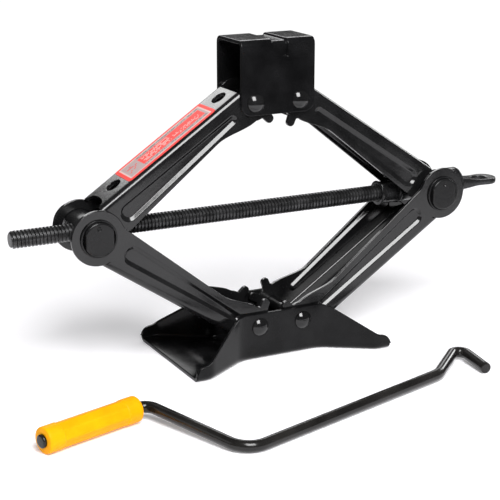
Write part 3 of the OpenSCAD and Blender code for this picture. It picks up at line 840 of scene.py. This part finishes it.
def ring_along_y(name, x, y, thick, r_out, r_in, soft):
    """A flat ring with rounded edges, its axis along Y, centred at y."""
    h = thick / 2
    profile = []
    for cx, cr, start in ((h - soft, r_out - soft, 90), (h - soft, r_in + soft, 0),
                          (-h + soft, r_in + soft, -90), (-h + soft, r_out - soft, -180)):
        profile += arc_points((cx, cr), soft, start, start - 90, 3)
    return lathe(name, profile, 56, at_mm(x, y, SCREW_Z) @ ALONG_Y, 50, closed=True)


RING_FROM, RING_THICK, RING_R = LOWER_HALF + 0.3, 1.3, 15.0
WASHER_FROM, WASHER_TO, WASHER_R = UPPER_HALF + 0.3, LOWER_HALF - SHEET - 0.3, 16.2
for kind, x, body in (("nut", -TRUNNION_X, "nut_trunnion"), ("bearing", TRUNNION_X, "bearing_trunnion")):
    for family, y, thick, r_out, material, soft in (
        ("retaining_ring", RING_FROM + RING_THICK / 2, RING_THICK, RING_R, paint_bars_light_matched, 0.3),
        ("side_washer", (WASHER_FROM + WASHER_TO) / 2, WASHER_TO - WASHER_FROM, WASHER_R, washer_steel, 0.5),
    ):
        pair = [ring_along_y(f"{kind}_{family}_{side}", x, sy * y, thick, r_out,
                             TRUNNION_D / 2 + RUNNING, soft)
                for side, sy in (("front", -1), ("back", 1))]
        for obj in pair:
            place(obj, body, material, "trunnion_steel")
        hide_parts(f"{kind}_{family}s")


# ----------------------------------------------------------- screw and sleeve

def thread_mesh(name, x_from, x_to):
    """A right-hand trapezoidal thread about +X, tapered away at both ends."""
    pitch, crest, root = 3.0, SCREW_R, SCREW_R - 1.25
    form = [(0.0, root), (0.12, root), (0.24, crest - 0.12), (0.29, crest), (0.71, crest),
            (0.76, crest - 0.12), (0.88, root)]
    segments = 28
    turns = (x_to - x_from) / pitch
    rows = int(math.ceil((turns + 1) * segments))
    verts = []
    for i in range(rows + 1):
        a = 2 * math.pi * i / segments
        for part, r in form:
            x = x_from + pitch * (i / segments - 1 + part)
            verts.append((x, r, a))
    verts = np.array(verts)
    x, r, a = verts[:, 0], verts[:, 1], verts[:, 2]
    taper = 1.6
    limit = np.minimum(x - x_from, x_to - x)
    r = np.minimum(r, np.where(limit < taper, root - 0.4 + np.maximum(limit, 0) / taper * 1.95, crest))
    x = np.clip(x, x_from, x_to)
    r = np.where(limit <= 0, root - 0.4, r)
    points = np.stack([x, r * np.sin(-a), r * np.cos(-a)], axis=1)
    per = len(form)
    faces = []
    for i in range(rows):
        for k in range(per):
            if k < per - 1:
                faces.append((i * per + k, i * per + k + 1, (i + 1) * per + k + 1, (i + 1) * per + k))
            elif i + segments + 1 <= rows:
                # joins one turn's last row to the next turn's first
                faces.append((i * per + k, (i + segments) * per, (i + segments + 1) * per, (i + 1) * per + k))
    obj = make_object(name, points, faces)
    bm = bmesh.new()
    bm.from_mesh(obj.data)
    bmesh.ops.remove_doubles(bm, verts=bm.verts, dist=0.004 * MM)
    bmesh.ops.dissolve_degenerate(bm, dist=0.002 * MM, edges=bm.edges)
    rims = [e for e in bm.edges if e.is_boundary]
    bmesh.ops.holes_fill(bm, edges=rims, sides=0)
    bmesh.ops.recalc_face_normals(bm, faces=bm.faces)
    bm.to_mesh(obj.data)
    bm.free()
    obj.data.shade_smooth()
    obj.data.set_sharp_from_angle(angle=math.radians(28))
    obj.data.transform(ON_SCREW)
    return obj


RACE_X = TRUNNION_X + TRUNNION_FLATS / 2 + 0.05
RACE_THICK, BALL_R, BALL_GAP = 2.5, 1.98, 0.02
SHOULDER_X = RACE_X + 2 * (RACE_THICK + BALL_GAP + BALL_R) + 0.05
COLLAR_R = 14.2
NECK_X = SHOULDER_X + 11.8
EYE_X, EYE_R, EYE_THICK = 220.0, 11.5, 5.0
EYE_HOLE_X, EYE_HOLE_R = 215.5, 6.8
TAIL_X, THREAD_END_X = -TRUNNION_X - 62.0, 112.0

place(thread_mesh("screw_thread", TAIL_X, THREAD_END_X), "screw", screw_steel, "screw_steel", "lead_screw")
collar = [(SHOULDER_X, 6.9), (SHOULDER_X, COLLAR_R - 0.7), (SHOULDER_X + 0.7, COLLAR_R),
          (NECK_X - 3.3, COLLAR_R), (NECK_X - 3.0, COLLAR_R - 0.8), (NECK_X - 2.4, COLLAR_R - 0.8),
          (NECK_X - 2.1, COLLAR_R), (NECK_X - 0.9, COLLAR_R), (NECK_X - 0.3, COLLAR_R - 0.3),
          (NECK_X, COLLAR_R - 1), (NECK_X, 0)]
shank = lathe("screw_shank", [(111, 0), (111, 6.9)] + collar, 64, ON_SCREW)
place(shank, "screw", sleeve_steel, "screw_steel")


def ray_reach(polygon, centre, angle):
    """How far a ray from the centre runs before it crosses the polygon."""
    d = np.array([math.cos(angle), math.sin(angle)])
    a = polygon - centre
    b = np.roll(a, -1, axis=0)
    e = b - a
    cross = d[0] * e[:, 1] - d[1] * e[:, 0]
    cross = np.where(np.abs(cross) < 1e-12, 1e-12, cross)
    t = (a[:, 0] * e[:, 1] - a[:, 1] * e[:, 0]) / cross
    k = (a[:, 0] * d[1] - a[:, 1] * d[0]) / cross
    hits = t[(t > 0) & (k >= -1e-9) & (k <= 1 + 1e-9)]
    return float(hits.min())


def eye_mesh():
    """The flattened and pierced end of the screw, its rims rounded over."""
    count = 120
    angles = np.arange(count) * 2 * math.pi / count
    plan = arc_points((EYE_X, 0), EYE_R, -105, 105, 40)
    plan = np.array([(NECK_X - 0.5, -7.5), (EYE_X - 12, -10.2)] + plan
                    + [(EYE_X - 12, 10.2), (NECK_X - 0.5, 7.5)])
    centre = np.array([EYE_HOLE_X, 0.0])
    reach = np.array([ray_reach(plan, centre, a) for a in angles])

    def half_thickness(x):
        t = np.clip((EYE_X - EYE_R + 3 - x) / (EYE_X - EYE_R + 3 - NECK_X), 0, 1)
        return EYE_THICK / 2 + (5.0 - EYE_THICK / 2) * t * t * (3 - 2 * t)

    shares = [0.0, 0.03, 0.09, 0.2, 0.4, 0.6, 0.8, 0.91, 0.97, 1.0]
    layers = []
    for sign in (1, -1):
        for share in (shares if sign == 1 else shares[::-1]):
            radial = EYE_HOLE_R + (reach - EYE_HOLE_R) * share
            x = EYE_HOLE_X + radial * np.cos(angles)
            y = radial * np.sin(angles)
            gap = np.clip(np.minimum(radial - EYE_HOLE_R, reach - radial) / 1.2, 0, 1)
            crown = np.sqrt(1 - (1 - gap) ** 2)
            z = sign * half_thickness(x) * (0.55 + 0.45 * crown)
            layers.append(np.stack([x, y, z], axis=1))
    faces = bridge(stacked(len(layers), count), closed=True)
    obj = make_object("screw_eye_ring", np.vstack(layers), faces, sharp_deg=50)
    orient(obj)
    obj.data.transform(ON_SCREW)
    return obj


place(eye_mesh(), "screw", sleeve_steel, "screw_steel")

SLEEVE_X, SLEEVE_LEN, SLEEVE_R, RIM_R = 108.5, 35.5, 9.6, 10.6
step = 18.5
bore = SCREW_R + RUNNING
sleeve_profile = [(bore, 1.0), (bore + 0.9, 0.0), (RIM_R - 0.6, 0.0), (RIM_R - 0.15, 0.2), (RIM_R, 0.6),
                  (RIM_R - 0.15, 1.1), (RIM_R - 0.6, 1.5), (SLEEVE_R, 2.2), (SLEEVE_R, 6), (SLEEVE_R, 12),
                  (SLEEVE_R, step - 0.4), (RIM_R - 0.5, step), (RIM_R - 0.3, step + 0.4),
                  (RIM_R - 0.3, step + 1.4), (RIM_R - 0.5, step + 1.8), (SLEEVE_R - 0.3, step + 2.4),
                  (SLEEVE_R - 0.3, step + 8), (SLEEVE_R - 0.3, SLEEVE_LEN - 0.5),
                  (SLEEVE_R - 0.8, SLEEVE_LEN), (bore, SLEEVE_LEN)]
sleeve = lathe("screw_sleeve_tube", [(SLEEVE_X + x, r) for r, x in sleeve_profile], 56, ON_SCREW, 40,
               closed=True)
place(sleeve, "screw", sleeve_steel, "sleeve_steel", "screw_sleeve")
ROLL_PIN_X, ROLL_PIN_R = 122.0, 1.5
end = SLEEVE_R - 0.5
half_pin = [(-end, 0), (-end, ROLL_PIN_R - 0.4), (-end + 0.4, ROLL_PIN_R)]
roll = lathe("sleeve_roll_pin_round", half_pin + [(-x, r) for x, r in reversed(half_pin)], 24,
             at_mm(ROLL_PIN_X, 0, SCREW_Z) @ Matrix.Rotation(math.pi / 2, 4, "Y"))
place(roll, "screw", washer_steel, "sleeve_steel", "sleeve_roll_pin")


# ------------------------------------------------------- small carried nodes

def finish_node(name, material, bevel_mm):
    """A CAD node that keeps its shape and gets softened edges and a material."""
    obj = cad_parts[name]
    obj.data.materials.clear()
    obj.data.materials.append(material)
    for poly in obj.data.polygons:
        poly.material_index = 0
    if bevel_mm:
        soften = obj.modifiers.new("soften", "BEVEL")
        soften.width = bevel_mm * MM
        soften.segments = 2
        soften.limit_method = "ANGLE"
        soften.angle_limit = math.radians(40)
        soften.harden_normals = False


finish_node("sleeve_washer", washer_steel, 0.2)
for name, bevel_mm in (("thrust_race_fixed", 0.2), ("thrust_race_turning", 0.2), ("thrust_balls", 0),
                       ("thrust_ball_cage", 0)):
    finish_node(name, bearing_steel, bevel_mm)


# --------------------------------------------------------------------- label

def label_material():
    """A red and silver sticker: border, frame, red field, and rows of plain bars in place of print."""
    m = Finish("label_print", (0.4, 0.4, 0.4), 0.45, ior=1.28)
    uv = m.add("UVMap", {}, "UV", uv_map="label_mm")
    u, v = (m.add("SeparateXYZ", {"Vector": uv}, axis) for axis in "XY")

    def band(value, low, high, soft=0.25):
        return m.math("MULTIPLY", m.remap(value, low - soft, low + soft, 0, 1),
                      m.remap(value, high - soft, high + soft, 1, 0))

    def box(u0, u1, v0, v1):
        return m.math("MULTIPLY", band(u, u0, u1), band(v, v0, v1))

    def dashes(area, pitch_u, pitch_v, fill_u, fill_v):
        """Broken rows of small bars inside an area."""
        cell = m.add("CombineXYZ", {"X": m.math("FLOOR", m.math("DIVIDE", u, pitch_u), 0),
                                    "Y": m.math("FLOOR", m.math("DIVIDE", v, pitch_v), 0)}, "Vector")
        chance = m.add("TexWhiteNoise", {"Vector": cell}, "Value", noise_dimensions="2D")
        shown = m.math("LESS_THAN", chance, fill_u)
        row = m.math("LESS_THAN", m.math("FRACT", m.math("DIVIDE", v, pitch_v), 0), fill_v)
        return m.math("MULTIPLY", area, m.math("MULTIPLY", shown, row))

    red, pale, cream = (0.90, 0.035, 0.025), (0.44, 0.33, 0.325), (0.70, 0.50, 0.47)
    ink, mark = (0.05, 0.05, 0.055), (0.75, 0.04, 0.035)
    layers = (
        (box(3.2, 86.8, 3.0, 29.0), cream),
        (box(4.6, 85.4, 4.3, 27.7), pale),
        (box(19.5, 83.5, 8.5, 23.5), red),
        (dashes(box(22, 50, 10.4, 21.8), 1.3, 2.3, 0.72, 0.62), (0.75, 0.42, 0.39)),
        (dashes(box(52, 80, 10.4, 17.0), 1.1, 2.2, 0.55, 0.5), (0.75, 0.44, 0.41)),
        (dashes(box(20, 84, 4.9, 7.9), 0.9, 1.5, 0.6, 0.55), ink),
        (dashes(box(20, 84, 24.4, 27.4), 0.9, 1.5, 0.6, 0.55), ink),
        (dashes(box(6.5, 17, 9.5, 22.5), 1.7, 2.6, 0.35, 0.6), mark),
    )
    color = red
    for area, tint in layers:
        color = m.mix(area, color, tint)
    worn = m.noise(6, 4)
    m.set({"Base Color": m.mix(m.remap(worn, 0.45, 0.75, 0, 0.12), color, (0.35, 0.33, 0.33)),
           "Roughness": m.remap(worn, 0.3, 0.7, 0.38, 0.5)})
    m.bump(m.noise(3, 2), 0.1, 0.08)
    return m.material


def label_mesh():
    """A thin film with rounded corners on the upper left arm's web."""
    u0, u1, corner, thick = 47.5, 137.5, 3.0, 0.28
    # its sides reach just onto the web's rounded bends
    half = UPPER_HALF - BEND_R + 0.9
    corners = []
    for cx, cy, start in ((u1 - corner, half - corner, 0), (u0 + corner, half - corner, 90),
                          (u0 + corner, -half + corner, 180), (u1 - corner, -half + corner, 270)):
        corners += arc_points((cx, cy), corner, start, start + 90, 6)
    outline = resample(corners, 3.0)
    flat, faces = triangulate(outline, [], [], grid(u0, u1, 3, -half, half, 2.0))

    def lifted(h):
        past = np.maximum(np.abs(flat[:, 1]) - (UPPER_HALF - BEND_R), 0)
        sag = BEND_R - np.sqrt(BEND_R ** 2 - past ** 2)
        return np.stack([flat[:, 0], flat[:, 1], UPPER_WEB + h - sag], axis=1)

    obj = sheet_piece("label_sticker", lifted(thick), lifted(0.02), faces, 0.08)
    uv = obj.data.uv_layers.new(name="label_mm")
    for loop in obj.data.loops:
        co = obj.data.vertices[loop.vertex_index].co
        across = co.y / MM + half
        uv.data[loop.index].uv = (co.x / MM - u0, across * 32.0 / (2 * half))
    obj.data.transform(UPPER_LEFT)
    return obj


place(label_mesh(), "upper_arm_left", label_material(), "label_film", "rating_label")


# --------------------------------------------------------------------- crank

ROD_R = 4.5
CRANK_CORNERS = [(-102.5, 102), (-6.5, 102), (0, 0), (210, 0), (267, 27), (249, -17.5)]
CRANK_BENDS = [0, 10, 18, 25, 7, 0]
ON_GROUND = (at_mm(-117.2, -197.8, ROD_R + 0.05) @ Matrix.Rotation(math.radians(16.65), 4, "Z")
             @ Matrix.Rotation(math.radians(-0.24), 4, "Y") @ Matrix.Rotation(math.radians(3.33), 4, "X"))


def sweep(name, path, radii, segments=28):
    """A round bar along a path that lies flat in its own plane."""
    path = np.array(path, float)
    tangent = unit(np.gradient(path, axis=0))
    side = np.stack([-tangent[:, 1], tangent[:, 0]], axis=1)
    verts = []
    for p, s, r in zip(path, side, radii):
        for j in range(segments):
            a = 2 * math.pi * j / segments
            verts.append((p[0] + s[0] * r * math.cos(a), p[1] + s[1] * r * math.cos(a), r * math.sin(a)))
    rings = stacked(len(path), segments)
    caps = [tuple(rings[0]), tuple(reversed(rings[-1]))]
    obj = make_object(name, verts, bridge(rings) + caps, sharp_deg=35)
    orient(obj)
    return obj


rounded = [np.array(p) for p in round_corners(CRANK_CORNERS, CRANK_BENDS, 14)]
start, toward = rounded[0], unit(rounded[1] - rounded[0])
end, back = rounded[-1], unit(rounded[-2] - rounded[-1])
# the upset end that keeps the grip on, the bar, and the hook's rounded tip
bar = [(start + toward * d, r) for d, r in ((-0.6, 3.4), (-0.55, 4.0), (-0.2, 4.7), (0.3, 5.05),
                                            (1.2, 5.05), (1.45, 4.9), (1.5, 4.5))]
bar += [(p, ROD_R) for p in rounded[1:-1]]
bar += [(end + back * d, r) for d, r in ((6, 4.5), (0.9, 4.5), (0.35, 4.3), (0.05, 3.8), (0.0, 3.2))]
rod = sweep("crank_bar", [p for p, _ in bar], [r for _, r in bar])
rod.data.transform(ON_GROUND)
place(rod, "crank", paint_crank, "crank_paint", "crank_rod")


def grip_mesh():
    """The moulded grip: a round collar at each end and shallow flutes that meet in ridges between them."""
    r, length, collar, flutes = 10.0, 84.0, 12.5, 8
    soft = 1.5
    bore = ROD_R + RUNNING

    def fluted(x, a, rr):
        if rr < r - 0.3:
            return rr
        along = min(x - collar, length - collar - x)
        share = max(0.0, min(1.0, along / 1.0))
        share = share * share * (3 - 2 * share)
        wave = abs(math.sin(flutes * a / 2))
        return rr - share * (0.22 + 0.55 * wave)

    profile = [(0.6, bore), (0, bore + 0.6), (0, 6.2), (0.0, r - soft - 0.6), (0.2, r - soft)]
    profile += [(soft - soft * math.cos(a), r - soft + soft * math.sin(a))
                for a in (math.radians(d) for d in (30, 50, 70, 90))]
    profile += [(x, r) for x in (4, 8, 12, 12.5, 12.75, 13.0, 13.25, 13.5, 14)]
    profile += [(x, r) for x in np.linspace(20, length - 20, 8)]
    mirrored = [(length - x, rr) for x, rr in reversed(profile) if x <= 14]
    obj = lathe("crank_grip_sleeve", profile + mirrored, 96, None, 38, closed=True, ripple=fluted)
    obj.data.transform(at_mm(CRANK_CORNERS[0][0] + 1.8, CRANK_CORNERS[0][1], 0))
    obj.data.transform(ON_GROUND)
    return obj


place(grip_mesh(), "grip", plastic, "yellow_plastic", "crank_grip")


# ------------------------------------------------------ floor, light, camera

def disc(name, radius, segments=128):
    """A flat round floor, so that what stands on it mirrors a bright floor only close by."""
    verts = [(0.0, 0.0, 0.0)]
    rings = [[0] * segments]
    for k in range(1, 7):
        rings.append(range(len(verts), len(verts) + segments))
        verts += [(x, y, 0.0) for x, y in circle((0, 0), radius * k / 6, segments)]
    return make_object(name, verts, bridge(rings))


FLOOR_R = 660.0
floor = disc("studio_floor", FLOOR_R)
pale = Finish("pale_floor", (0.90, 0.89, 0.915), 0.75)
pale.set({"Specular IOR Level": 0.1, "Emission Color": (1, 1, 1), "Emission Strength": 0.18})
floor.data.materials.append(pale.material)


def area_light(name, direction, distance, width, height, radiance):
    """A soft box in a direction from the object, whose surface has the given brightness."""
    data = bpy.data.lights.new(name, "AREA")
    data.shape = "RECTANGLE"
    data.size, data.size_y = width, height
    data.energy = radiance * width * height * math.pi
    obj = bpy.data.objects.new(name, data)
    toward = Vector(direction).normalized()
    obj.location = Vector(LIGHT_AIM) + toward * distance
    obj.rotation_mode = "QUATERNION"
    obj.rotation_quaternion = (-toward).to_track_quat("-Z", "Y")
    bpy.context.scene.collection.objects.link(obj)
    obj.visible_camera = False


LIGHT_AIM = (0.0, 0.0, 0.13)
area_light("key_box", (-0.13, -0.71, 0.69), 1.7, 0.8, 1.05, 17.0)
area_light("right_box", (0.885, 0.304, 0.351), 2.0, 0.4, 0.5, 9.0)
area_light("back_low", (0.35, 0.87, 0.35), 2.5, 2.6, 0.25, 1.9)
area_light("back_middle", (0.30, 0.84, 0.45), 2.6, 2.4, 0.35, 2.6)
area_light("back_high", (0.25, 0.80, 0.60), 2.8, 2.4, 0.8, 3.6)
area_light("left_box", (-0.93, 0.1, 0.35), 2.2, 1.0, 1.0, 0.7)

world = bpy.data.worlds.new("studio")
bpy.context.scene.world = world
world.use_nodes = True
# the camera sees a white studio, and the object mirrors a dim one
background = world.node_tree.nodes["Background"]
background.inputs["Color"].default_value = (1, 1, 1, 1)
lights = world.node_tree.nodes.new("ShaderNodeLightPath")
strength = world.node_tree.nodes.new("ShaderNodeMapRange")
strength.inputs["To Min"].default_value = 0.10
strength.inputs["To Max"].default_value = 1.05
world.node_tree.links.new(lights.outputs["Is Camera Ray"], strength.inputs["Value"])
world.node_tree.links.new(strength.outputs["Result"], background.inputs["Strength"])

camera_data = bpy.data.cameras.new("camera")
camera_data.lens = 103.1
camera_data.sensor_width = 36.0
camera = bpy.data.objects.new("camera", camera_data)
bpy.context.scene.collection.objects.link(camera)
azimuth, elevation, distance = math.radians(-27.09), math.radians(16.28), 1.1914
target = Vector((-0.0136, 0.0, 0.0848))
half_pixel = 0.00041
toward_camera = Vector((math.sin(azimuth) * math.cos(elevation), -math.cos(azimuth) * math.cos(elevation),
                        math.sin(elevation)))
to_right = Vector((math.cos(azimuth), math.sin(azimuth), 0.0))
target += half_pixel * (toward_camera.cross(to_right) - to_right)
camera.location = target + toward_camera * distance
camera.rotation_mode = "QUATERNION"
camera.rotation_quaternion = (-toward_camera).to_track_quat("-Z", "Y")
bpy.context.scene.camera = camera

scene = bpy.context.scene
scene.view_settings.view_transform = "Standard"
scene.view_settings.look = "None"
scene.cycles.use_denoising = True
